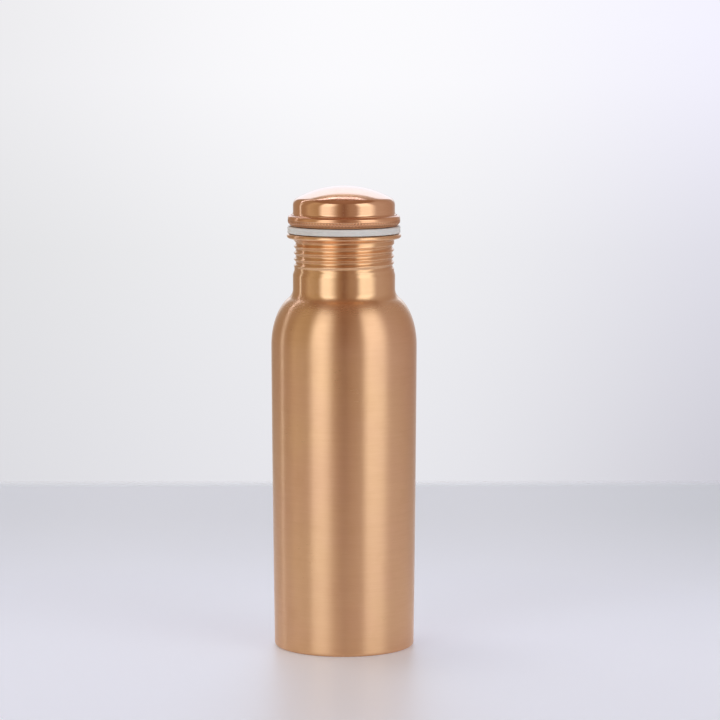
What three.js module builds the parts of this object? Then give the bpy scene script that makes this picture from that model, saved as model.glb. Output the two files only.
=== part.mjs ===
// Copper water bottle with a screw cap. Millimetres, +Z up, origin at the
// centre of the face it stands on. Five separate pieces:
//   bottle_body    one drawn and spun copper shell, thread rolled into the neck
//   gasket         silicone sealing ring on the bottle's rim
//   threaded_plug  hollow copper stopper, thread rolled into its side
//   grip_ring      knurled copper band that clamps the plug's flange to the cap
//   cap_shell      domed copper cap
import * as THREE from 'three';
import { mergeVertices } from 'three/addons/utils/BufferGeometryUtils.js';

// ---- driving dimensions (mm) -------------------------------------------
const SEGMENTS = 40;            // facets round the axis
const SHEET = 0.6;              // copper sheet thickness
const GAP = 0.3;                // clearance between pieces that touch

const BODY_R = 35.0;            // largest radius, at the top of the side
const BODY_FOOT_R = 33.8;       // radius at the foot
const HEEL_R = 1.5;             // rounding between side and base
const FOOT_FLAT = 1.9;          // width of the flat ring it stands on
const BASE_RECESS = 1.4;        // how far the middle of the base is raised

const SHOULDER_Z = 146.25;      // where the side ends and the shoulder starts
const SHOULDER_A = 14.6;        // the shoulder is a quarter ellipse: its half width
const SHOULDER_B = 25.0;        // and its half height
const SHOULDER_END_Z = 168.75;   // where it runs into the neck's fillet
const NECK_FILLET_R = 5.6;

const NECK_R = 24.6;            // plain neck, outside
const THREAD_CREST_R = 24.1;    // threaded neck, outside
const THREAD_DEPTH = 0.95;      // how far the groove is rolled in
const PITCH = 3.06;             // single-start right-hand thread
const GROOVE_Z = 187.46;        // height of the groove's middle on the +X side
const GROOVE_START = [-1.9, -0.7];   // run-out at the lower end, in turns
const GROOVE_END = [2.6, 3.0];       // run-out at the upper end, in turns

const RIM_TOP = 199.85;         // top of the curled rim
const RIM_R = 27.45;            // outside of the curled rim
const RIM_THICK = 2.25;         // height of the curl
const MOUTH_R = THREAD_CREST_R - SHEET;

const GASKET_R = 27.1;
const GASKET_HOLE_R = 22.5;
const GASKET_H = 3.2;

const THREAD_PLAY = 0.5;                              // radial, cap thread in neck
const PLUG_ROOT_R = MOUTH_R - THREAD_DEPTH - THREAD_PLAY;
const RIDGE_START = [-1.35, -1.0];   // the plug's ridge, in turns
const RIDGE_END = [2.35, 2.7];
const PLUG_BOTTOM = 181.8;
const PLUG_CORNER = 2.0;
const FLANGE_R = 25.85;

const RING_LOW = RIM_TOP + GAP + GASKET_H + GAP;   // 203.65
const RING_HIGH = 208.8;
const RING_R = 26.95;
const RING_WALL = 0.8;
const RING_CHAMFER_R = 25.8;
const RING_CHAMFER_H = 1.3;

const CAP_R = 24.5;
const CAP_SKIRT_R = 25.15;
const CAP_SIDE_TOP = 213.4;
const CAP_CORNER_R = 4.2;
const CAP_TOP = 222.8;

// ---- helpers --------------------------------------------------------------

// Offsets an open outline (list of [r, z]) sideways by a distance, to the left
// of its direction of travel.
function offsetOutline(points, distance) {
  return points.map((p, i) => {
    const a = points[Math.max(0, i - 1)];
    const b = points[Math.min(points.length - 1, i + 1)];
    const dr = b[0] - a[0];
    const dz = b[1] - a[1];
    const len = Math.hypot(dr, dz);
    return [p[0] - (dz / len) * distance, p[1] + (dr / len) * distance];
  });
}

// Points on an arc from angle a0 to a1 (degrees, 0 = outwards, 90 = up).
function arc(cr, cz, radius, a0, a1, steps) {
  const out = [];
  for (let i = 0; i <= steps; i++) {
    const t = ((a0 + ((a1 - a0) * i) / steps) * Math.PI) / 180;
    out.push([cr + radius * Math.cos(t), cz + radius * Math.sin(t)]);
  }
  return out;
}

const smooth = (x, a, b) => {
  const t = Math.min(1, Math.max(0, (x - a) / (b - a)));
  return t * t * (3 - 2 * t);
};

// Shape of the rolled groove across one pitch: 1 in the middle of the groove,
// 0 on the narrow crest between two turns. u is the distance from the middle
// of a groove in pitches.
const groove = (u) => Math.pow(0.5 + 0.5 * Math.cos(2 * Math.PI * u), 0.7);

// Distance from the helix at a point, in pitches, and how many turns along the
// helix the nearest turn is. It climbs with a right-handed turn.
function helix(theta, z, offset) {
  const round = theta < 0 ? theta + 2 * Math.PI : theta;
  const u = (z - GROOVE_Z) / PITCH - offset - round / (2 * Math.PI);
  const k = Math.round(u);
  return { u: u - k, turns: k + round / (2 * Math.PI) + offset };
}

// Neck: the groove is rolled inwards.
function neckThread(theta, z) {
  const h = helix(theta, z, 0);
  const depth = smooth(h.turns, ...GROOVE_START) * (1 - smooth(h.turns, ...GROOVE_END));
  return -THREAD_DEPTH * groove(h.u) * depth;
}

// Plug: a ridge is rolled outwards, in the space between the neck's grooves.
function plugThread(theta, z) {
  const h = helix(theta, z, 0.5);
  const height = smooth(h.turns, ...RIDGE_START) * (1 - smooth(h.turns, ...RIDGE_END));
  return THREAD_DEPTH * (1 - groove(h.u + 0.5)) * height;
}

// Turns an outline into a closed solid of revolution about Z. The outline
// starts and ends on the axis, or closes on itself. wave(theta, z, r) moves
// each point outwards.
function revolve(outline, wave) {
  const points = outline.map(([r, z]) => new THREE.Vector2(Math.max(r, 0), z));
  let geometry = new THREE.LatheGeometry(points, SEGMENTS);
  geometry.rotateX(Math.PI / 2);
  geometry.deleteAttribute('normal');
  geometry.deleteAttribute('uv');
  geometry = mergeVertices(geometry, 1e-4);
  const pos = geometry.attributes.position;
  if (wave) {
    for (let i = 0; i < pos.count; i++) {
      const x = pos.getX(i);
      const y = pos.getY(i);
      const z = pos.getZ(i);
      const r = Math.hypot(x, y);
      if (r < 1e-3) continue;
      const d = wave(Math.atan2(y, x), z, r);
      pos.setXYZ(i, (x * (r + d)) / r, (y * (r + d)) / r, z);
    }
  }
  const old = geometry.index.array;
  const index = [];
  for (let i = 0; i < old.length; i += 3) {
    const [a, b, c] = [old[i], old[i + 1], old[i + 2]];
    if (a !== b && b !== c && a !== c) index.push(a, b, c);
  }
  // signed volume decides which way the faces point
  let volume = 0;
  const v = (i) => new THREE.Vector3().fromBufferAttribute(pos, i);
  for (let i = 0; i < index.length; i += 3) {
    volume += v(index[i]).dot(v(index[i + 1]).cross(v(index[i + 2])));
  }
  if (volume < 0) {
    for (let i = 0; i < index.length; i += 3) {
      [index[i + 1], index[i + 2]] = [index[i + 2], index[i + 1]];
    }
  }
  const solid = new THREE.BufferGeometry();
  solid.setAttribute('position', pos);
  solid.setIndex(index);
  solid.computeVertexNormals();
  return solid;
}

function piece(name, geometry, color, roughness, metalness) {
  const mesh = new THREE.Mesh(
    geometry,
    new THREE.MeshStandardMaterial({ color, roughness, metalness }),
  );
  mesh.name = name;
  return mesh;
}

const group = new THREE.Group();
group.name = 'copper_water_bottle';

// ---- bottle body -------------------------------------------------------------
{
  const flatOut = BODY_FOOT_R - HEEL_R;
  const flatIn = flatOut - FOOT_FLAT;
  // side: widens from the foot, ever more slowly, to the shoulder
  const sideR = (z) => {
    const t = (z - HEEL_R) / (SHOULDER_Z - HEEL_R);
    return BODY_FOOT_R + (BODY_R - BODY_FOOT_R) * (1 - Math.pow(1 - t, 1.3));
  };
  const shoulderR = (z) => BODY_R - SHOULDER_A *
    (1 - Math.sqrt(1 - ((z - SHOULDER_Z) / SHOULDER_B) ** 2));
  const shoulder = [3.5, 6.5, 9.5, 12.2, 14.6, 16.8, 18.7, 20.4, 21.7, SHOULDER_END_Z - SHOULDER_Z]
    .map((dz) => [shoulderR(SHOULDER_Z + dz), SHOULDER_Z + dz]);
  // fillet into the neck, concave, ending upright at the neck's radius
  const fromR = shoulderR(SHOULDER_END_Z);
  const turn = Math.acos(1 - (fromR - NECK_R) / NECK_FILLET_R);
  const neckZ = SHOULDER_END_Z + NECK_FILLET_R * Math.sin(turn);
  const fillet = [0.72, 0.45, 0.2, 0].map((f) => [
    NECK_R + NECK_FILLET_R * (1 - Math.cos(turn * f)),
    neckZ - NECK_FILLET_R * Math.sin(turn * f),
  ]);
  const threadRows = [];
  for (let z = 182.4; z < 196.2; z += PITCH / 6) threadRows.push([THREAD_CREST_R, z]);
  // outside, from the heel up to the underside of the rim
  const side = [
    ...arc(BODY_FOOT_R - HEEL_R, HEEL_R, HEEL_R, -90, 0, 3),
    ...[20, 45, 75, 110].map((z) => [sideR(z), z]), [BODY_R, SHOULDER_Z],
    ...shoulder, ...fillet,
    [NECK_R, 179.6], [24.52, 180.6], [24.25, 181.6],
    ...threadRows,
  ];
  // the curl: underside fillet, round outer edge, flat top
  const curl = RIM_THICK / 2;
  const rim = [
    [24.5, 196.85], [25.4, 197.4],
    ...arc(RIM_R - curl, RIM_TOP - curl, curl, -80, 90, 5),
  ];
  // inside, from the mouth down to the middle of the base
  const inside = offsetOutline(side, SHEET)
    .filter(([, z]) => z > HEEL_R + 0.8)
    .reverse();
  const mouth = [[MOUTH_R + 0.7, RIM_TOP], [MOUTH_R + 0.15, RIM_TOP - 0.5], [MOUTH_R, RIM_TOP - 1.5]];
  const outline = [
    [0, BASE_RECESS], [flatIn - 1.6, BASE_RECESS], [flatIn - 0.4, 0.35], [flatIn, 0],
    ...side, ...rim, ...mouth, ...inside,
    [BODY_FOOT_R - SHEET, HEEL_R], [flatOut - 0.3, SHEET],
    [flatIn + 0.2, SHEET], [flatIn - 0.5, BASE_RECESS + 0.2],
    [flatIn - 1.5, BASE_RECESS + SHEET], [0, BASE_RECESS + SHEET],
  ];
  const geometry = revolve(outline, (theta, z, r) => (
    r > 21 && r < 25 && z > 180.8 && z < 196.6 ? neckThread(theta, z) : 0
  ));
  group.add(piece('bottle_body', geometry, 0xd59a63, 0.32, 1.0));
}

// ---- gasket ------------------------------------------------------------------
{
  const low = RIM_TOP + GAP;
  const high = low + GASKET_H;
  const edge = 0.55;
  const outline = [
    [GASKET_HOLE_R + 0.3, low], [GASKET_R - edge, low],
    ...arc(GASKET_R - edge, low + edge, edge, -60, 0, 2),
    ...arc(GASKET_R - edge, high - edge, edge, 0, 60, 2),
    [GASKET_R - edge, high], [GASKET_HOLE_R + 0.3, high],
    [GASKET_HOLE_R, high - 0.3], [GASKET_HOLE_R, low + 0.3],
    [GASKET_HOLE_R + 0.3, low],
  ];
  group.add(piece('gasket', revolve(outline), 0xd9e3e6, 0.6, 0.0));
}

// ---- threaded plug -----------------------------------------------------------
{
  const flangeZ = RING_LOW + SHEET + GAP;      // underside of the flange
  const rows = [];
  for (let z = PLUG_BOTTOM + PLUG_CORNER + 0.2; z < 196.7; z += PITCH / 6) {
    rows.push([PLUG_ROOT_R, z]);
  }
  const outside = [
    [0, PLUG_BOTTOM], [PLUG_ROOT_R - PLUG_CORNER - 0.3, PLUG_BOTTOM],
    ...arc(PLUG_ROOT_R - PLUG_CORNER, PLUG_BOTTOM + PLUG_CORNER, PLUG_CORNER, -75, 0, 3),
    ...rows,
    [PLUG_ROOT_R, flangeZ - 1.2], [PLUG_ROOT_R + 0.3, flangeZ - 0.35],
    [PLUG_ROOT_R + 1.1, flangeZ], [FLANGE_R, flangeZ],
  ];
  const innerR = PLUG_ROOT_R - SHEET;
  const inside = [
    [FLANGE_R, flangeZ + SHEET], [PLUG_ROOT_R + 0.5, flangeZ + SHEET],
    [innerR + 0.5, flangeZ - 0.1], [innerR, flangeZ - 1.3],
    [innerR, PLUG_BOTTOM + SHEET + 1.6], [innerR - 1.2, PLUG_BOTTOM + SHEET],
    [0, PLUG_BOTTOM + SHEET],
  ];
  const geometry = revolve([...outside, ...inside], (theta, z, r) => (
    r > innerR + 0.2 && r < PLUG_ROOT_R + 0.1 && z > PLUG_BOTTOM + PLUG_CORNER && z < 197.3
      ? plugThread(theta, z) : 0
  ));
  group.add(piece('threaded_plug', geometry, 0xcf8f5a, 0.3, 1.0));
}

// ---- grip ring ---------------------------------------------------------------
{
  // C-shaped section, open towards the axis, its two lips folded over the
  // plug's flange below and the cap's skirt above
  const wallIn = RING_R - RING_WALL;
  const outline = [
    [CAP_SKIRT_R - 1.5, RING_LOW], [RING_CHAMFER_R, RING_LOW],
    [RING_R - 0.25, RING_LOW + RING_CHAMFER_H * 0.7], [RING_R, RING_LOW + RING_CHAMFER_H],
    [RING_R, RING_HIGH - 1.7], [RING_R - 0.17, RING_HIGH - 1.0],
    [RING_R - 0.6, RING_HIGH - 0.4], [RING_R - 1.3, RING_HIGH],
    [CAP_SKIRT_R + GAP, RING_HIGH], [CAP_SKIRT_R + GAP, RING_HIGH - SHEET],
    [wallIn - 0.5, RING_HIGH - SHEET], [wallIn, RING_HIGH - 1.25], [wallIn, RING_LOW + RING_CHAMFER_H],
    [wallIn - 0.2, RING_LOW + SHEET], [CAP_SKIRT_R - 1.5, RING_LOW + SHEET],
    [CAP_SKIRT_R - 1.5, RING_LOW],
  ];
  group.add(piece('grip_ring', revolve(outline), 0xc27a4a, 0.38, 1.0));
}

// ---- cap shell ---------------------------------------------------------------
{
  const skirtLow = RING_LOW + SHEET + GAP + SHEET + GAP;   // foot of the skirt
  // dome radius that runs tangent into the corner and reaches the top
  const a = CAP_R - CAP_CORNER_R;
  const h = CAP_SIDE_TOP - CAP_TOP;
  const domeR = (CAP_CORNER_R ** 2 - a * a - h * h) / (2 * h + 2 * CAP_CORNER_R);
  const domeZ = CAP_TOP - domeR;
  const t0 = (Math.atan2(CAP_SIDE_TOP - domeZ, a) * 180) / Math.PI;
  const outside = [
    [CAP_SKIRT_R, skirtLow + SHEET], [CAP_SKIRT_R, RING_HIGH + 0.2], [24.85, RING_HIGH + 0.55],
    [24.62, RING_HIGH + 1.0], [24.52, RING_HIGH + 1.5],
    ...arc(a, CAP_SIDE_TOP, CAP_CORNER_R, 0, t0, 4),
    ...arc(0, domeZ, domeR, t0, 90, 5).slice(1),
  ];
  outside[outside.length - 1][0] = 0;
  const inside = offsetOutline(outside, SHEET).reverse();
  inside[0] = [0, CAP_TOP - SHEET];
  inside[inside.length - 1] = [CAP_SKIRT_R - SHEET, skirtLow + SHEET];
  const outline = [
    [FLANGE_R, skirtLow], [FLANGE_R, skirtLow + SHEET],
    ...outside, ...inside,
    [CAP_SKIRT_R - SHEET, skirtLow], [FLANGE_R, skirtLow],
  ];
  group.add(piece('cap_shell', revolve(outline), 0xc98455, 0.25, 1.0));
}

export default group;
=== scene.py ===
"""Copper water bottle: fine surfaces, materials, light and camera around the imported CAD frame."""
import math

import bpy  # noqa: E402
import numpy as np  # noqa: E402
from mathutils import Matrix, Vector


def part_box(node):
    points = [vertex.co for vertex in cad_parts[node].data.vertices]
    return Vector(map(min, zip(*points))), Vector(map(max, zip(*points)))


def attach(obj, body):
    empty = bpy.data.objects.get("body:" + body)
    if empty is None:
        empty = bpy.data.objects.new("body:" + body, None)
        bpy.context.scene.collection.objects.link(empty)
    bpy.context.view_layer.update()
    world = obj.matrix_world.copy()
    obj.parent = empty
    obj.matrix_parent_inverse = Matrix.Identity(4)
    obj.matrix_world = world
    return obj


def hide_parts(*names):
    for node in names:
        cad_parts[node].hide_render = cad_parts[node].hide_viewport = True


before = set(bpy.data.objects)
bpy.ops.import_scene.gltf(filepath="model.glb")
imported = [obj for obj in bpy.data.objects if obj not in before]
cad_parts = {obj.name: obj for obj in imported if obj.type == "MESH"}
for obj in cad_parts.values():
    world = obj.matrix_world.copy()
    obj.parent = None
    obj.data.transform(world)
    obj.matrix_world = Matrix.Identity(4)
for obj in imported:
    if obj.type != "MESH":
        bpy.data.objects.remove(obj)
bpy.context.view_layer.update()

MM = 0.001

# ------------------------------------------------------------------ sizes, mm
# Read from the CAD frame where a box gives them; the rest are the drawing's
# own numbers.
SHEET = 0.6
BODY_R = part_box("bottle_body")[1].x / MM
FOOT_R, HEEL_R = 33.8, 1.5
SHOULDER_Z, SHOULDER_A, SHOULDER_B, SHOULDER_END_Z = 146.25, 14.6, 25.0, 168.75
NECK_FILLET_R, NECK_R = 5.6, 24.6
CREST_R, DEPTH, PITCH, GROOVE_Z = 24.1, 0.95, 3.06, 187.46
GROOVE_START, GROOVE_END = (-1.9, -0.7), (2.6, 3.0)
RIM_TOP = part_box("bottle_body")[1].z / MM
RIM_R, RIM_THICK = 27.45, 2.25
MOUTH_R = CREST_R - SHEET
GASKET_R, GASKET_HOLE_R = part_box("gasket")[1].x / MM, 22.5
GASKET_LOW, GASKET_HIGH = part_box("gasket")[0].z / MM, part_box("gasket")[1].z / MM
PLUG_ROOT_R = MOUTH_R - DEPTH - 0.5
PLUG_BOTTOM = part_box("threaded_plug")[0].z / MM
PLUG_CORNER, FLANGE_R = 2.0, 25.85
RIDGE_START, RIDGE_END = (-1.35, -1.0), (2.35, 2.7)
RING_LOW, RING_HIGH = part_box("grip_ring")[0].z / MM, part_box("grip_ring")[1].z / MM
RING_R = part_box("grip_ring")[1].x / MM
CAP_R, CAP_SKIRT_R, CAP_SIDE_TOP, CAP_CORNER_R = 24.5, 25.15, 213.4, 4.2
CAP_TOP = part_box("cap_shell")[1].z / MM


# ------------------------------------------------------------- outline helpers
def smooth(x, a, b):
    t = np.clip((np.asarray(x, float) - a) / (b - a), 0, 1)
    return t * t * (3 - 2 * t)


def arc(cr, cz, radius, a0, a1, steps):
    t = np.radians(np.linspace(a0, a1, steps + 1))
    return [(cr + radius * math.cos(x), cz + radius * math.sin(x)) for x in t]


def rounded(points, steps=5):
    """Corners given as (r, z, fillet radius) become arcs; the ends stay."""
    out = []
    n = len(points)
    for i, (r, z, f) in enumerate(points):
        p = np.array([r, z], float)
        if f <= 0 or i in (0, n - 1):
            out.append((r, z))
            continue
        a = np.array(points[i - 1][:2], float) - p
        b = np.array(points[i + 1][:2], float) - p
        la, lb = np.linalg.norm(a), np.linalg.norm(b)
        a, b = a / la, b / lb
        ang = math.acos(max(-1, min(1, float(a @ b))))
        if ang > math.pi - 1e-3:
            out.append((r, z))
            continue
        cut = min(f / math.tan(ang / 2), 0.49 * la, 0.49 * lb)
        rad = cut * math.tan(ang / 2)
        mid = (a + b) / np.linalg.norm(a + b)
        c = p + mid * (rad / math.sin(ang / 2))
        s = p + a * cut - c
        e = p + b * cut - c
        t0, t1 = math.atan2(s[1], s[0]), math.atan2(e[1], e[0])
        d = (t1 - t0 + math.pi) % (2 * math.pi) - math.pi
        for k in range(steps + 1):
            t = t0 + d * k / steps
            out.append((c[0] + rad * math.cos(t), c[1] + rad * math.sin(t)))
    return out


def resample(points, step):
    """Adds points along straight stretches longer than step."""
    out = [points[0]]
    for a, b in zip(points, points[1:]):
        n = max(1, int(math.ceil(math.hypot(b[0] - a[0], b[1] - a[1]) / step)))
        for k in range(1, n + 1):
            out.append((a[0] + (b[0] - a[0]) * k / n, a[1] + (b[1] - a[1]) * k / n))
    return out


def offset(points, d):
    p = np.array(points, float)
    t = np.gradient(p, axis=0)
    t /= np.linalg.norm(t, axis=1)[:, None]
    return [tuple(x) for x in p + np.stack([-t[:, 1], t[:, 0]], 1) * d]


def lathe(name, outline, segs, wave=None, closed=False, marks=None):
    """Solid of revolution about Z from an outline in mm. wave(theta, z, r)
    returns how far each point moves outwards. marks(theta, z, r) returns a
    0..1 value kept on the mesh, where the materials paint shade and some tarnish."""
    pts = np.array(outline, float)
    if closed and np.allclose(pts[0], pts[-1]):
        pts = pts[:-1]
    n = len(pts)
    th = np.linspace(0, 2 * math.pi, segs, endpoint=False)
    verts, rows = [], []
    values = []
    for r, z in pts:
        if r < 1e-4:
            rows.append([len(verts)])
            verts.append((0.0, 0.0, z))
            values.append(0.0)
            continue
        rr = np.full(segs, r)
        if wave is not None:
            rr = rr + wave(th, z, r)
        base = len(verts)
        rows.append(list(range(base, base + segs)))
        verts.extend(zip(rr * np.cos(th), rr * np.sin(th), np.full(segs, z)))
        m = marks(th, z, r) if marks is not None else 0.0
        values.extend(np.broadcast_to(m, segs).tolist())
    faces = []
    pairs = [(i, i + 1) for i in range(n - 1)]
    if closed:
        pairs.append((n - 1, 0))
    for i, j in pairs:
        a, b = rows[i], rows[j]
        if len(a) == 1 and len(b) == 1:
            continue
        for k in range(segs):
            k2 = (k + 1) % segs
            if len(a) == 1:
                faces.append((a[0], b[k2], b[k]))
            elif len(b) == 1:
                faces.append((a[k], a[k2], b[0]))
            else:
                faces.append((a[k], a[k2], b[k2], b[k]))
    mesh = bpy.data.meshes.new(name)
    mesh.from_pydata([(x * MM, y * MM, z * MM) for x, y, z in verts], [], faces)
    mesh.validate()
    # faces point outwards: the signed volume says which way they are wound
    co = np.array([v.co for v in mesh.vertices])
    mesh.calc_loop_triangles()
    tri = np.array([t.vertices[:] for t in mesh.loop_triangles])
    vol = float(np.einsum("ij,ij->i", co[tri[:, 0]], np.cross(co[tri[:, 1]], co[tri[:, 2]])).sum())
    if vol < 0:
        mesh.flip_normals()
    at = mesh.attributes.new("shade_and_tarnish", "FLOAT", "POINT")
    at.data.foreach_set("value", np.array(values, np.float32))
    mesh.shade_smooth()
    mesh.update()
    ob = bpy.data.objects.new(name, mesh)
    bpy.context.scene.collection.objects.link(ob)
    return ob


# ------------------------------------------------------------------- the thread
def groove(u):
    return np.power(0.5 + 0.5 * np.cos(2 * math.pi * u), 0.7)


def helix(theta, z, shift):
    t = theta / (2 * math.pi)
    u = (z - GROOVE_Z) / PITCH - shift - t
    k = np.round(u)
    return u - k, k + t + shift


def neck_depth(theta, z):
    u, turns = helix(theta, z, 0.0)
    return groove(u) * smooth(turns, *GROOVE_START) * (1 - smooth(turns, *GROOVE_END))


def plug_height(theta, z):
    u, turns = helix(theta, z, 0.5)
    return (1 - groove(u + 0.5)) * smooth(turns, *RIDGE_START) * (1 - smooth(turns, *RIDGE_END))


# ----------------------------------------------------------------- bottle body
def side_r(z):
    t = (z - HEEL_R) / (SHOULDER_Z - HEEL_R)
    return FOOT_R + (BODY_R - FOOT_R) * (1 - (1 - t) ** 1.3)


def shoulder_r(z):
    return BODY_R - SHOULDER_A * (1 - math.sqrt(1 - ((z - SHOULDER_Z) / SHOULDER_B) ** 2))


def body_outline():
    flat_out = FOOT_R - HEEL_R
    flat_in = flat_out - 1.9
    out = arc(FOOT_R - HEEL_R, HEEL_R, HEEL_R, -90, 0, 9)
    out += [(side_r(z), z) for z in np.linspace(HEEL_R + 1.0, SHOULDER_Z, 60)]
    # quarter ellipse, evenly spaced along the curve
    t_end = math.asin((SHOULDER_END_Z - SHOULDER_Z) / SHOULDER_B)
    for t in np.linspace(0, t_end, 34)[1:]:
        out.append((BODY_R - SHOULDER_A * (1 - math.cos(t)), SHOULDER_Z + SHOULDER_B * math.sin(t)))
    from_r = shoulder_r(SHOULDER_END_Z)
    turn = math.acos(1 - (from_r - NECK_R) / NECK_FILLET_R)
    neck_z = SHOULDER_END_Z + NECK_FILLET_R * math.sin(turn)
    for f in np.linspace(1, 0, 13)[1:]:
        out.append((NECK_R + NECK_FILLET_R * (1 - math.cos(turn * f)),
                    neck_z - NECK_FILLET_R * math.sin(turn * f)))
    out += [(NECK_R, z) for z in np.linspace(neck_z, 179.7, 8)[1:]]
    for z in np.arange(179.9, 182.4, 0.2):
        out.append((NECK_R - (NECK_R - CREST_R) * float(smooth(z, 179.7, 182.2)), z))
    out += [(CREST_R, z) for z in np.arange(182.4, 196.05, 0.17)]
    outer = out
    curl = RIM_THICK / 2
    rim = rounded([(CREST_R, 196.05, 0), (CREST_R, 196.95, 1.3), (25.9, 197.55, 0.8), (26.4, 197.65, 0)], 6)[1:-1]
    rim += arc(RIM_R - curl, RIM_TOP - curl, curl, -86, 90, 16)
    mouth = rounded([(RIM_R - curl, RIM_TOP, 0), (MOUTH_R, RIM_TOP, 0.75), (MOUTH_R, 195.9, 0)], 7)[1:-1]
    inner = [p for p in offset(outer, SHEET) if p[1] > HEEL_R + 1.5][::-1][::2]
    low = rounded([
        (side_r(HEEL_R + 1.5) - SHEET, HEEL_R + 1.4, 0), (FOOT_R - SHEET, SHEET, 0.9), (flat_in + 0.3, SHEET, 0.5),
        (flat_in - 1.6, 2.0, 0.6), (0, 2.0, 0)], 5)
    under = rounded([(0, 1.4, 0), (flat_in - 1.7, 1.4, 0.8), (flat_in - 0.1, 0, 0.5), (flat_out, 0, 0)], 6)[:-1]
    under = resample(under[:2], 3.0)[:-1] + under[1:]
    return under + outer + rim + mouth + inner + low[1:]


def body_wave(th, z, r):
    if 21 < r < 25 and 180.8 < z < 196.7:
        return -DEPTH * neck_depth(th, z)
    return np.zeros_like(th)


def body_shade_and_tarnish(th, z, r):
    """Painted shade, with some tarnish: thread roots, neck crease, under the rim and along the foot."""
    m = np.zeros_like(th)
    if 21 < r < 25.2 and 180.8 < z < 196.9:
        m = m + 0.9 * neck_depth(th, z)
    m = m + 0.65 * math.exp(-((z - 170.0) / 1.5) ** 2) * (r > 23)
    m = m + 0.8 * math.exp(-((z - 196.6) / 0.9) ** 2) * (r < 26)
    m = m + 0.5 * math.exp(-(z / 0.8) ** 2)
    return np.clip(m, 0, 1)


bottle = lathe("bottle_body_skin", body_outline(), 240, body_wave, marks=body_shade_and_tarnish)
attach(bottle, "bottle")
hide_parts("bottle_body")


# ---------------------------------------------------------------------- gasket
def gasket_outline():
    lo, hi, mid = GASKET_LOW, GASKET_HIGH, (GASKET_LOW + GASKET_HIGH) / 2
    top = rounded([
        (GASKET_HOLE_R, mid, 0), (GASKET_HOLE_R, lo, 0.35), (GASKET_R, lo, 0.62),
        (GASKET_R, lo + 0.9, 0.25), (GASKET_R - 0.13, mid, 2.5), (GASKET_R, hi - 0.9, 0.25),
        (GASKET_R, hi, 0.62), (GASKET_HOLE_R, hi, 0.35), (GASKET_HOLE_R, mid, 0)], 7)
    return top


gasket = lathe("gasket_ring", gasket_outline(), 256, closed=True)
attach(gasket, "seal")
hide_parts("gasket")


# ------------------------------------------------------------------------ plug
def plug_outline():
    flange_z = RING_LOW + SHEET + 0.3
    out = rounded([
        (0, PLUG_BOTTOM + 0.5, 0), (13.0, PLUG_BOTTOM + 0.5, 1.0), (14.6, PLUG_BOTTOM, 1.0),
        (PLUG_ROOT_R, PLUG_BOTTOM, PLUG_CORNER), (PLUG_ROOT_R, 184.3, 0)], 9)[:-1]
    out = resample(out[:2], 2.0)[:-1] + out[1:]
    out += [(PLUG_ROOT_R, z) for z in np.arange(184.3, 197.0, 0.15)]
    out += rounded([(PLUG_ROOT_R, 197.1, 0), (PLUG_ROOT_R, flange_z, 1.1), (FLANGE_R, flange_z, 0.1),
                    (FLANGE_R, flange_z + SHEET, 0.1), (PLUG_ROOT_R - SHEET, flange_z + SHEET, 1.2),
                    (PLUG_ROOT_R - SHEET, PLUG_BOTTOM + SHEET + 0.5, 1.4), (0, PLUG_BOTTOM + SHEET + 0.5, 0)], 6)
    return out


def plug_wave(th, z, r):
    if PLUG_ROOT_R - 0.1 < r < PLUG_ROOT_R + 0.1 and PLUG_BOTTOM + PLUG_CORNER < z < 197.6:
        return DEPTH * plug_height(th, z)
    return np.zeros_like(th)


def plug_shade_and_tarnish(th, z, r):
    # painted shade, with some tarnish, in the roots between the thread ridges
    if PLUG_ROOT_R - 0.1 < r < PLUG_ROOT_R + 0.1 and PLUG_BOTTOM + PLUG_CORNER < z < 197.6:
        return 0.8 * (1 - plug_height(th, z)) * smooth(z, 183.8, 184.8) * (1 - smooth(z, 195.8, 197.3))
    return np.zeros_like(th)


plug = lathe("threaded_plug_skin", plug_outline(), 256, plug_wave, marks=plug_shade_and_tarnish)
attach(plug, "cap")
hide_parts("threaded_plug")


# ------------------------------------------------------------------- grip ring
KNURLS = 104            # diamonds round the ring
KNURL_LOW, KNURL_HIGH = RING_LOW + 0.35, RING_LOW + 3.15
KNURL_DEPTH, KNURL_TALL = 0.20, 1.38


def knurl(th, z):
    """1 on the points of the diamonds, 0 in the crossing grooves."""
    rise = (z - RING_LOW) / (KNURL_TALL * 2 * math.pi * RING_R / KNURLS)      # in diamond heights
    a = np.abs(np.sin(math.pi * (th * KNURLS / (2 * math.pi) + rise)))
    b = np.abs(np.sin(math.pi * (th * KNURLS / (2 * math.pi) - rise)))
    return np.clip((np.minimum(a, b) - 0.16) / 0.34, 0, 1)


def knurl_window(z):
    return float(smooth(z, KNURL_LOW, KNURL_LOW + 0.35) * (1 - smooth(z, KNURL_HIGH - 0.5, KNURL_HIGH)))


def edge_window(z):
    """The tool also leaves a row of shallow teeth on the upper edge."""
    return float(smooth(z, RING_HIGH - 0.45, RING_HIGH - 0.15))


def ring_wave(th, z, r):
    if r < RING_R - 1.75:
        return np.zeros_like(th)
    tooth = np.abs(np.sin(th * KNURLS / 2)) - 1.0
    return knurl_window(z) * KNURL_DEPTH * (knurl(th, z) - 1.0) + edge_window(z) * 0.16 * tooth


def ring_painted_shade(th, z, r):
    # painted shade in the knurl grooves and between the teeth on the upper edge
    if r < RING_R - 1.75:
        return np.zeros_like(th)
    tooth = np.clip(1.0 - 1.6 * np.abs(np.sin(th * KNURLS / 2)), 0, 1)
    return knurl_window(z) * (1.0 - knurl(th, z)) + edge_window(z) * 0.6 * tooth


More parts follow.
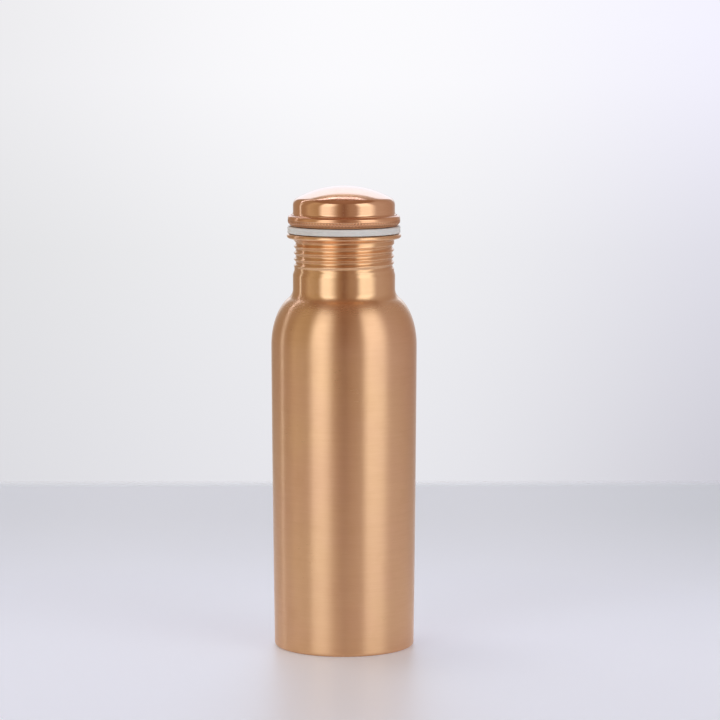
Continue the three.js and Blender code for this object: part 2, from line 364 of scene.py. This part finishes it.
def ring_outline():
    inner = CAP_SKIRT_R - 1.5
    wall = RING_R - 0.8
    corners = [
        (inner, RING_LOW + 0.3, 0), (inner, RING_LOW, 0.25), (RING_R - 1.3, RING_LOW, 0.6),
        (RING_R, RING_LOW + 1.6, 1.5), (RING_R, RING_HIGH - 0.85, 1.6), (RING_R - 1.15, RING_HIGH, 0.4),
        (CAP_SKIRT_R + 0.3, RING_HIGH, 0.1),
        (CAP_SKIRT_R + 0.3, RING_HIGH - SHEET, 0.1), (wall, RING_HIGH - SHEET, 0.3),
        (wall, RING_LOW + SHEET, 0.3), (inner, RING_LOW + SHEET, 0.25), (inner, RING_LOW + 0.3, 0)]
    pts = rounded(corners, 4)
    out = [pts[0]]
    for a, b in zip(pts, pts[1:]):
        low = min(a[1], b[1])
        fine = min(a[0], b[0]) > RING_R - 1.5 and (low < RING_LOW + 3.6 or low > RING_HIGH - 1.0)
        step = 0.14 if fine else 1.6
        n = max(1, int(math.ceil(math.hypot(b[0] - a[0], b[1] - a[1]) / step)))
        for k in range(1, n + 1):
            out.append((a[0] + (b[0] - a[0]) * k / n, a[1] + (b[1] - a[1]) * k / n))
    return out


ring = lathe("grip_ring_knurled", ring_outline(), KNURLS * 8, ring_wave, closed=True, marks=ring_painted_shade)
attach(ring, "cap")
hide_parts("grip_ring")


# ------------------------------------------------------------------- cap shell
def cap_outline():
    skirt = RING_LOW + SHEET + 0.3 + SHEET + 0.3
    a = CAP_R - CAP_CORNER_R
    h = CAP_SIDE_TOP - CAP_TOP
    dome_r = (CAP_CORNER_R ** 2 - a * a - h * h) / (2 * h + 2 * CAP_CORNER_R)
    dome_z = CAP_TOP - dome_r
    t0 = math.degrees(math.atan2(CAP_SIDE_TOP - dome_z, a))
    outer = rounded([(FLANGE_R, skirt, 0), (FLANGE_R, skirt + SHEET, 0.1), (CAP_SKIRT_R, skirt + SHEET, 0.1),
                     (CAP_SKIRT_R, RING_HIGH + 0.15, 0)], 3)[1:]
    # concave sweep at the foot of the side, down to the ledge
    foot = 1.6
    foot_z = RING_HIGH + 0.16 + foot * math.sin(math.radians(53.5))
    outer += arc(CAP_R + foot, foot_z, foot, 180 + 53.5, 180, 12)
    outer += [(CAP_R, z) for z in np.linspace(foot_z, CAP_SIDE_TOP, 6)[1:-1]]
    outer += arc(a, CAP_SIDE_TOP, CAP_CORNER_R, 0, t0, 16)
    for t in np.radians(np.linspace(t0, 90, 40))[1:]:
        outer.append((max(0.0, dome_r * math.cos(t)), dome_z + dome_r * math.sin(t)))
    outer[-1] = (0.0, CAP_TOP)
    inner = [p for p in offset(outer[6:], SHEET)][::-1]
    inner[0] = (0.0, CAP_TOP - SHEET)
    return [(FLANGE_R, skirt)] + outer + inner + [(CAP_SKIRT_R - SHEET, skirt)]


def cap_painted_shade(th, z, r):
    # painted shade along the crease where the cap's foot meets the grip ring
    return np.full_like(th, 0.7 * math.exp(-((z - RING_HIGH - 0.2) / 0.6) ** 2))


cap = lathe("cap_shell_skin", cap_outline(), 256, closed=True, marks=cap_painted_shade)
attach(cap, "cap")
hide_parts("cap_shell")


# ------------------------------------------------------------------- materials
class Nodes:
    """Small helper for building a node tree by name."""

    def __init__(self, tree):
        self.tree = tree
        tree.nodes.clear()

    def add(self, kind, **sets):
        node = self.tree.nodes.new(kind)
        for k, v in sets.items():
            if k.startswith("in_"):
                node.inputs[k[3:].replace("_", " ")].default_value = v
            else:
                setattr(node, k, v)
        return node

    def link(self, a, b):
        self.tree.links.new(a, b)

    def math(self, op, a, b=None, clamp=False):
        n = self.tree.nodes.new("ShaderNodeMath")
        n.operation = op
        n.use_clamp = clamp
        for i, v in enumerate((a, b)):
            if v is None:
                continue
            if isinstance(v, (int, float)):
                n.inputs[i].default_value = v
            else:
                self.link(v, n.inputs[i])
        return n.outputs[0]

    def remap(self, value, a, b, c, d, kind="LINEAR"):
        n = self.tree.nodes.new("ShaderNodeMapRange")
        n.interpolation_type = kind
        self.link(value, n.inputs["Value"])
        for name, v in zip(("From Min", "From Max", "To Min", "To Max"), (a, b, c, d)):
            n.inputs[name].default_value = v
        return n.outputs["Result"]

    def mix(self, fac, a, b, blend="MIX"):
        n = self.tree.nodes.new("ShaderNodeMix")
        n.data_type = "RGBA"
        n.blend_type = blend
        for sock, v in ((n.inputs[0], fac), (n.inputs[6], a), (n.inputs[7], b)):
            if isinstance(v, (int, float)):
                sock.default_value = v
            elif isinstance(v, tuple):
                sock.default_value = (*v, 1.0)
            else:
                self.link(v, sock)
        return n.outputs[2]


def copper(name, colour, pink, dark, rough, aniso, brush, streak=1.0, wave=1.0, patch=0.5, neck=None,
           hollow_darkening=0.62):
    """Turned and brushed copper. The brushing runs round the axis: noise that
    is fine along the profile and long round the axis drives bump, roughness
    and a little colour; slow noise gives uneven polish and tarnish."""
    m = bpy.data.materials.new(name)
    m.use_nodes = True
    n = Nodes(m.node_tree)
    out = n.add("ShaderNodeOutputMaterial")
    p = n.add("ShaderNodeBsdfPrincipled")
    n.link(p.outputs[0], out.inputs[0])
    p.inputs["Metallic"].default_value = 1.0
    p.inputs["Anisotropic"].default_value = aniso
    p.inputs["Anisotropic Rotation"].default_value = 0.25
    tangent = n.add("ShaderNodeTangent", direction_type="RADIAL", axis="Z")
    n.link(tangent.outputs[0], p.inputs["Tangent"])

    tc = n.add("ShaderNodeTexCoord")
    sep = n.add("ShaderNodeSeparateXYZ")
    n.link(tc.outputs["Object"], sep.inputs[0])
    x, y, z = sep.outputs
    r = n.math("SQRT", n.math("ADD", n.math("MULTIPLY", x, x), n.math("MULTIPLY", y, y)))
    rs = n.math("MAXIMUM", r, 1e-5)
    c, s = n.math("DIVIDE", x, rs), n.math("DIVIDE", y, rs)

    def turned(round_scale, fine, detail=2.0, seed=0.0):
        v = n.add("ShaderNodeCombineXYZ")
        n.link(n.math("MULTIPLY", c, round_scale), v.inputs[0])
        n.link(n.math("MULTIPLY", s, round_scale), v.inputs[1])
        n.link(n.math("ADD", n.math("MULTIPLY", z, fine), seed), v.inputs[2])
        t = n.add("ShaderNodeTexNoise", noise_dimensions="4D")
        t.inputs["Scale"].default_value = 1.0
        t.inputs["Detail"].default_value = detail
        t.inputs["Roughness"].default_value = 0.55
        n.link(v.outputs[0], t.inputs["Vector"])
        n.link(n.math("MULTIPLY", r, fine), t.inputs["W"])
        return t.outputs["Fac"]

    def cloud(scale, detail=2.0, seed=0.0):
        mp = n.add("ShaderNodeMapping")
        mp.inputs["Location"].default_value = (seed, seed * 0.7, seed * 1.3)
        n.link(tc.outputs["Object"], mp.inputs["Vector"])
        t = n.add("ShaderNodeTexNoise", noise_dimensions="3D")
        t.inputs["Scale"].default_value = scale
        t.inputs["Detail"].default_value = detail
        n.link(mp.outputs[0], t.inputs["Vector"])
        return t.outputs["Fac"]

    fine = turned(5.0, 2600.0, 2.0, 3.1)      # the brush lines themselves
    band = turned(1.6, 520.0, 2.0, 17.7)      # broader turned rings
    slow = cloud(26.0, 3.0, 0.37)             # uneven polish
    spots = cloud(95.0, 4.0, 1.9)             # small stains and handling marks
    shade_and_tarnish = n.add("ShaderNodeAttribute", attribute_name="shade_and_tarnish")

    warm = n.mix(n.remap(slow, 0.35, 0.68, 0.0, 1.0, "SMOOTHSTEP"), colour, pink)
    streaked = n.mix(n.remap(fine, 0.3, 0.75, 0.0, 0.16 * streak), warm, dark)
    streaked = n.mix(n.remap(band, 0.35, 0.7, 0.0, 0.14 * streak), streaked, dark)
    stained = n.mix(n.remap(spots, 0.56, 0.72, 0.0, 0.22 * patch, "SMOOTHSTEP"), streaked, dark)
    # painted shade, with some tarnish: the per-point darkness kept on the mesh pulls the colour towards dark in hollows
    # and creases
    hollow_shade = n.mix(n.remap(shade_and_tarnish.outputs["Fac"], 0.15, 1.0, 0.0, hollow_darkening, "SMOOTHSTEP"), stained, dark)
    n.link(hollow_shade, p.inputs["Base Color"])

    ro = n.math("ADD", n.remap(fine, 0.25, 0.75, rough - 0.035, rough + 0.035),
                n.remap(slow, 0.3, 0.7, -0.02, 0.03))
    if neck is not None:      # polished more finely above the shoulder
        ro = n.math("ADD", ro, n.remap(z, 0.160, 0.174, 0.0, neck - rough, "SMOOTHSTEP"))
    ro = n.math("ADD", ro, n.remap(spots, 0.5, 0.75, 0.0, 0.05 * patch))
    ro = n.math("ADD", ro, n.remap(shade_and_tarnish.outputs["Fac"], 0.0, 1.0, 0.0, 0.05))
    n.link(ro, p.inputs["Roughness"])

    b1 = n.add("ShaderNodeBump", in_Strength=brush, in_Distance=0.00004)
    n.link(fine, b1.inputs["Height"])
    b2 = n.add("ShaderNodeBump", in_Strength=0.5 * brush, in_Distance=0.00006)
    n.link(band, b2.inputs["Height"])
    n.link(b1.outputs[0], b2.inputs["Normal"])
    b3 = n.add("ShaderNodeBump", in_Strength=0.6 * wave, in_Distance=0.0006)
    n.link(cloud(34.0, 1.0, 5.3), b3.inputs["Height"])
    n.link(b2.outputs[0], b3.inputs["Normal"])
    n.link(b3.outputs[0], p.inputs["Normal"])
    return m


def silicone():
    m = bpy.data.materials.new("silicone")
    m.use_nodes = True
    n = Nodes(m.node_tree)
    out = n.add("ShaderNodeOutputMaterial")
    p = n.add("ShaderNodeBsdfPrincipled")
    n.link(p.outputs[0], out.inputs[0])
    p.inputs["Subsurface Weight"].default_value = 0.25
    p.inputs["Subsurface Radius"].default_value = (0.8, 1.0, 1.0)
    p.inputs["Subsurface Scale"].default_value = 0.0012
    p.inputs["Specular IOR Level"].default_value = 0.45
    tc = n.add("ShaderNodeTexCoord")
    t = n.add("ShaderNodeTexNoise")
    t.inputs["Scale"].default_value = 260.0
    t.inputs["Detail"].default_value = 3.0
    n.link(tc.outputs["Object"], t.inputs["Vector"])
    t2 = n.add("ShaderNodeTexNoise")
    t2.inputs["Scale"].default_value = 2400.0
    t2.inputs["Detail"].default_value = 2.0
    n.link(tc.outputs["Object"], t2.inputs["Vector"])
    n.link(n.mix(n.remap(t.outputs["Fac"], 0.35, 0.7, 0.0, 1.0), (0.84, 0.87, 0.87), (0.77, 0.80, 0.81)),
           p.inputs["Base Color"])
    n.link(n.remap(t.outputs["Fac"], 0.3, 0.7, 0.48, 0.62), p.inputs["Roughness"])
    b = n.add("ShaderNodeBump", in_Strength=0.35, in_Distance=0.00003)
    n.link(t2.outputs["Fac"], b.inputs["Height"])
    n.link(b.outputs[0], p.inputs["Normal"])
    return m


# each dark colour tints brush streaks and stains, and through the hollow darkening amount also paints shade into
# hollows and creases
BODY = copper("body_copper", (0.90, 0.575, 0.33), (0.90, 0.56, 0.34), (0.70, 0.38, 0.18),
              0.31, 0.95, 0.20, 0.75, 0.4, 0.4, neck=0.19, hollow_darkening=0.35)
PLUG = copper("plug_copper", (0.88, 0.50, 0.28), (0.88, 0.49, 0.30), (0.56, 0.26, 0.12),
              0.28, 0.70, 0.3, 1.0, 0.8, 0.8)
# the ring's near-black dark colour and strong hollow darkening paint the shade in its knurl grooves
RING = copper("ring_copper", (0.90, 0.51, 0.29), (0.90, 0.50, 0.30), (0.22, 0.08, 0.035),
              0.16, 0.35, 0.12, 0.3, 0.3, 0.15, hollow_darkening=0.92)
CAP = copper("cap_copper", (0.91, 0.545, 0.325), (0.91, 0.545, 0.34), (0.62, 0.30, 0.14),
             0.105, 0.50, 0.10, 0.6, 0.10, 0.3)
SEAL = silicone()
for ob, mat in ((bottle, BODY), (plug, PLUG), (ring, RING), (cap, CAP), (gasket, SEAL)):
    ob.data.materials.append(mat)

# the hidden CAD solids carry the same finishes
for node, mat in (("bottle_body", BODY), ("threaded_plug", PLUG), ("grip_ring", RING),
                  ("cap_shell", CAP), ("gasket", SEAL)):
    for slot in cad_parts[node].material_slots:
        slot.material = mat

# ------------------------------------------------------------ the studio's values
# table colours near and far: the darker far colour is painted shade towards the back
FLOOR_NEAR, FLOOR_FAR = (0.86, 0.87, 0.92), (0.713, 0.714, 0.728)
# painted light: the table top glows a little, more at the front, which also lightens its shadow
GLOW_NEAR, GLOW_FAR, FLOOR_GLOW = (0.78, 0.86, 0.98), (0.60, 0.64, 0.62), 0.15
CEILING, ZENITH = (0.30, 0.19, 0.14), (0.34, 0.22, 0.17)
LAMP_LOW, LAMP_HIGH, LAMP_TOP, LAMP_TINT = 1.18, 1.45, 50.0, (1.0, 1.015, 1.025)
BANK_WIDE, BANK_RISE, BANK_LOW, BANK_HIGH = 0.36, 1.02, (1.05, 1.2, 1.40), (1.22, 1.55, 2.2)
LAMP_FOOT = 1.70
STRIP_HALF, STRIP_LEFT, STRIP_OVER = 3.2, (0.85, 0.85, 0.88), (2.9, 3.0, 3.9)
KEY = 2.0
# room tones round the horizon: pale behind, warm and dim at the sides, darkest
# in the opening where the camera stands
ROOM = [(-180, (0.90, 0.90, 0.92)), (-158, (0.40, 0.32, 0.25)), (-99, (0.38, 0.28, 0.20)), (-86, (0.55, 0.46, 0.34)),
        (-68, (0.46, 0.37, 0.26)), (-14, (0.38, 0.28, 0.21)), (0, (0.24, 0.145, 0.105)), (14, (0.38, 0.28, 0.22)),
        (76, (0.54, 0.47, 0.46)), (136, (0.42, 0.32, 0.28)), (160, (0.46, 0.40, 0.39)), (180, (0.90, 0.90, 0.92))]
# the two soft boxes: full from the second to the third azimuth, soft edges outside
BOX_LEFT, BOX_RIGHT = (-62, -47, -36, -11), (26, 42, 60, 81)
# wall behind the table, by elevation
WALL = [(-12.0, (0.76, 0.755, 0.80)), (-8.0, (0.81, 0.808, 0.845)), (-4.5, (0.865, 0.865, 0.885)),
        (-1.5, (0.96, 0.955, 0.98)), (12.0, (1.05, 1.04, 1.05))]
WALL_LEFT, WALL_RIGHT_LOW, WALL_RIGHT_HIGH = (0.88, 0.84), (0.72, 0.71, 0.76), (0.92, 0.91, 1.03)

# ----------------------------------------------------------------------- floor
# A pale table top with a straight back edge, fading out at its borders.
TABLE_HALF, TABLE_BACK, TABLE_FRONT = 0.62, 0.528, -0.44
xs = np.linspace(-TABLE_HALF, TABLE_HALF, 25)
ys = np.linspace(TABLE_FRONT, TABLE_BACK, 25)
verts = [(x, y, -0.00003) for y in ys for x in xs]
faces = [(j * 25 + i, j * 25 + i + 1, (j + 1) * 25 + i + 1, (j + 1) * 25 + i) for j in range(24) for i in range(24)]
me = bpy.data.meshes.new("table_top")
me.from_pydata(verts, [], faces)
me.update()
floor = bpy.data.objects.new("table_top", me)
bpy.context.scene.collection.objects.link(floor)
fm = bpy.data.materials.new("table_top")
fm.use_nodes = True
n = Nodes(fm.node_tree)
out = n.add("ShaderNodeOutputMaterial")
p = n.add("ShaderNodeBsdfPrincipled")
tc = n.add("ShaderNodeTexCoord")
sp = n.add("ShaderNodeSeparateXYZ")
n.link(tc.outputs["Object"], sp.inputs[0])
px, py = sp.outputs[0], sp.outputs[1]
ax_ = n.math("ABSOLUTE", px)
# painted shade: the table darkens towards the back
far = n.remap(py, -0.02, 0.42, 0.0, 1.0, "SMOOTHSTEP")
painted_near_to_far = far
# painted shade: the table darkens at the right and left sides, more further back
painted_side_shade = n.math("MULTIPLY", n.math("MAXIMUM", n.remap(px, 0.07, 0.26, 0.0, 0.19, "SMOOTHSTEP"),
                                n.remap(px, -0.25, -0.12, 0.07, 0.0, "SMOOTHSTEP")), n.remap(py, -0.05, 0.40, 0.0, 1.0))
floor_colour_with_painted_shade = n.mix(painted_side_shade, n.mix(painted_near_to_far, FLOOR_NEAR, FLOOR_FAR), (0.0, 0.0, 0.0))
n.link(floor_colour_with_painted_shade, p.inputs["Base Color"])
p.inputs["Roughness"].default_value = 0.42
p.inputs["Specular IOR Level"].default_value = 0.35
# painted light: the table's glow colour, from near to far
n.link(n.mix(painted_near_to_far, GLOW_NEAR, GLOW_FAR), p.inputs["Emission Color"])
p.inputs["Emission Strength"].default_value = FLOOR_GLOW
tr = n.add("ShaderNodeBsdfTransparent")
fade = n.math("MAXIMUM", n.remap(ax_, TABLE_HALF - 0.16, TABLE_HALF, 0.0, 1.0, "SMOOTHSTEP"),
              n.math("MAXIMUM", n.remap(py, TABLE_BACK - 0.034, TABLE_BACK, 0.0, 1.0, "SMOOTHSTEP"),
                     n.remap(py, TABLE_FRONT, TABLE_FRONT + 0.16, 1.0, 0.0, "SMOOTHSTEP")))
ms = n.add("ShaderNodeMixShader")
n.link(fade, ms.inputs[0])
n.link(p.outputs[0], ms.inputs[1])
n.link(tr.outputs[0], ms.inputs[2])
n.link(ms.outputs[0], out.inputs[0])
floor.data.materials.append(fm)

# ----------------------------------------------------------------------- world
# The studio: two tall soft boxes in front, a thin strip from the left running
# up and over, a bright bank behind and above, darker room between them.
scene = bpy.context.scene
world = bpy.data.worlds.new("studio")
scene.world = world
world.use_nodes = True
w = Nodes(world.node_tree)
tc = w.add("ShaderNodeTexCoord")
sep = w.add("ShaderNodeSeparateXYZ")
w.link(tc.outputs["Generated"], sep.inputs[0])
X, Y, Z = sep.outputs
az = w.math("ARCTAN2", X, w.math("MULTIPLY", Y, -1.0))         # 0 towards the camera, + to the right
el = w.math("MULTIPLY", w.math("ARCSINE", Z), 180 / math.pi)   # degrees above the horizon
turn = w.math("ADD", w.math("MULTIPLY", az, 1 / (2 * math.pi)), 0.5)


def ramp(stops):
    node = w.add("ShaderNodeValToRGB")
    cr = node.color_ramp
    cr.interpolation = "LINEAR"
    stops = sorted(stops)
    while len(cr.elements) < len(stops):
        cr.elements.new(0.5)
    for e, (a, v) in zip(cr.elements, stops):
        e.position = (a + 180) / 360
        e.color = (*v, 1.0) if isinstance(v, tuple) else (v, v, v, 1.0)
    w.link(turn, node.inputs[0])
    return node.outputs["Color"]


def grey(v):
    return (v, v, v)


def scale(col, f):
    return w.mix(1.0, col, f, "MULTIPLY")


room = ramp(ROOM)
deg = w.math("MULTIPLY", az, 180 / math.pi)


def box_light(a, b, c, d):
    return w.math("MULTIPLY", w.remap(deg, a, b, 0, 1, "SMOOTHSTEP"), w.remap(deg, c, d, 1, 0, "SMOOTHSTEP"))


lamps = w.math("ADD", box_light(*BOX_LEFT), box_light(*BOX_RIGHT))
height = w.math("MULTIPLY", w.remap(el, -45, -28, 0, 1, "SMOOTHSTEP"), w.remap(el, LAMP_TOP - 2, LAMP_TOP + 2, 1, 0, "SMOOTHSTEP"))
hot = w.remap(el, 6, 26, LAMP_LOW, LAMP_HIGH, "SMOOTHSTEP")
hot = w.math("MULTIPLY", hot, w.remap(el, -24, -7, LAMP_FOOT, 1.0, "SMOOTHSTEP"))
lampc = scale(LAMP_TINT, w.math("MULTIPLY", lamps, w.math("MULTIPLY", height, hot)))
up = w.remap(el, 46, 56, 0, 1, "SMOOTHSTEP")
roomc = w.mix(up, room, w.mix(w.remap(el, 66, 84, 0, 1, "SMOOTHSTEP"), CEILING, ZENITH))
# lamps stand in front of the room, so they replace it instead of adding
cover = w.math("MULTIPLY", w.math("MINIMUM", w.math("MULTIPLY", lamps, 1.0), 1.0), height)
roomc = w.mix(cover, roomc, (0.0, 0.0, 0.0))
env = w.mix(1.0, roomc, lampc, "ADD")

# bank behind and above: an upright rectangle, by its slopes from straight back
ahead = w.math("MAXIMUM", Y, 0.02)
across = w.math("DIVIDE", X, ahead)
rise = w.math("DIVIDE", Z, ahead)
wide = w.math("ABSOLUTE", across)
bank = w.math("MULTIPLY", w.remap(wide, BANK_WIDE - 0.07, BANK_WIDE + 0.08, 1, 0, "SMOOTHSTEP"),
              w.math("MULTIPLY", w.remap(el, 1, 9, 0, 1, "SMOOTHSTEP"),
                     w.remap(w.math("ADD", rise, w.math("MULTIPLY", w.math("MULTIPLY", wide, wide), 1.6)),
                             BANK_RISE - 0.05, BANK_RISE + 0.05, 1, 0, "SMOOTHSTEP")))
bankc = w.mix(w.remap(el, 4, 40, 0, 1), BANK_LOW, BANK_HIGH)
env = w.mix(bank, env, bankc)

# thin strip: upright on the left, then bending over behind and above
upright = w.remap(w.math("ABSOLUTE", w.math("ADD", deg, 116.0)), STRIP_HALF * 0.7, STRIP_HALF * 1.3, 1, 0, "SMOOTHSTEP")
upright = w.math("MULTIPLY", upright, w.math("MULTIPLY", w.remap(el, -30, -22, 0, 1), w.remap(el, 18, 26, 1, 0)))
env = w.mix(upright, env, STRIP_LEFT)
roof = w.math("SUBTRACT", 1.483, w.math("ADD", w.math("MULTIPLY", w.math("MAXIMUM", w.math("MULTIPLY", across, -1.0), 0.0), 0.529),
                                        w.math("MULTIPLY", w.math("MAXIMUM", across, 0.0), 0.36)))
over = w.remap(w.math("ABSOLUTE", w.math("SUBTRACT", rise, roof)), 0.035, 0.085, 1, 0, "SMOOTHSTEP")
over = w.math("MULTIPLY", over, w.math("MULTIPLY", w.remap(across, -1.7, -1.2, 0, 1), w.remap(across, 0.26, 0.42, 1, 0)))
env = w.mix(over, env, STRIP_OVER)

# what the camera itself sees behind the table: a pale wall, brighter upwards
# and in the middle
eld = w.math("ADD", el, 0.0)
wall = w.add("ShaderNodeValToRGB")
wall.color_ramp.interpolation = "LINEAR"
while len(wall.color_ramp.elements) < len(WALL):
    wall.color_ramp.elements.new(0.5)
for e, (a, v) in zip(wall.color_ramp.elements, WALL):
    e.position = (a + 12) / 24
    e.color = (*v, 1.0)
w.link(w.remap(eld, -12, 12, 0, 1), wall.inputs[0])
off = w.math("MULTIPLY", w.math("ARCTAN2", X, Y), 180 / math.pi)      # 0 straight back
lift = w.remap(el, -8.5, -0.5, 0.0, 1.0)
left = w.math("ADD", w.remap(off, -9.0, 0.3, WALL_LEFT[0], 1.0, "SMOOTHSTEP"),
              w.math("MULTIPLY", lift, w.remap(off, -9.0, 0.3, WALL_LEFT[1] - WALL_LEFT[0], 0.0, "SMOOTHSTEP")))
right = w.mix(w.remap(off, 0.6, 9.5, 0.0, 1.0, "SMOOTHSTEP"), grey(1.0), w.mix(lift, WALL_RIGHT_LOW, WALL_RIGHT_HIGH))
# the uneven wall is the one behind the bottle; the rest of the room is even
beyond = w.remap(w.math("ABSOLUTE", off), 12.0, 34.0, 0.0, 1.0, "SMOOTHSTEP")
uneven = w.mix(1.0, scale(wall.outputs["Color"], left), right, "MULTIPLY")
wallc = w.mix(beyond, uneven, wall.outputs["Color"])
lp = w.add("ShaderNodeLightPath")
seen = w.mix(lp.outputs["Is Camera Ray"], env, wallc)
bg = w.add("ShaderNodeBackground")
w.link(seen, bg.inputs[0])
bg.inputs[1].default_value = 1.0
wo = w.add("ShaderNodeOutputWorld")
w.link(bg.outputs[0], wo.inputs[0])
world.cycles.sampling_method = "MANUAL"
world.cycles.sample_map_resolution = 2048


# ----------------------------------------------------------------------- lamps
def area(name, pos, target, size, power, colour=(1, 1, 1)):
    d = bpy.data.lights.new(name, "AREA")
    d.shape = "DISK"
    d.size = size
    d.energy = power
    d.color = colour
    o = bpy.data.objects.new(name, d)
    scene.collection.objects.link(o)
    o.location = pos
    from mathutils import Vector
    o.rotation_euler = (Vector(target) - Vector(pos)).to_track_quat("-Z", "Y").to_euler()
    o.visible_camera = False
    o.visible_glossy = False
    return o


area("key_overhead", (-0.30, 0.20, 1.35), (0, 0, 0.1), 0.45, KEY)

# ---------------------------------------------------------------------- camera
cam = bpy.data.cameras.new("camera")
cam.lens = 3172.0 / 720.0 * 36.0
cam.sensor_width = 36.0
cam.clip_start = 0.05
cam.clip_end = 50.0
co = bpy.data.objects.new("camera", cam)
scene.collection.objects.link(co)
co.location = (0.0, -1.518, 0.312)
co.rotation_euler = (math.radians(90 - 6.514), 0.0, -math.radians(0.290))
scene.camera = co
scene.view_settings.view_transform = "Standard"
scene.view_settings.look = "None"
scene.view_settings.exposure = 0.0
scene.view_settings.gamma = 1.0
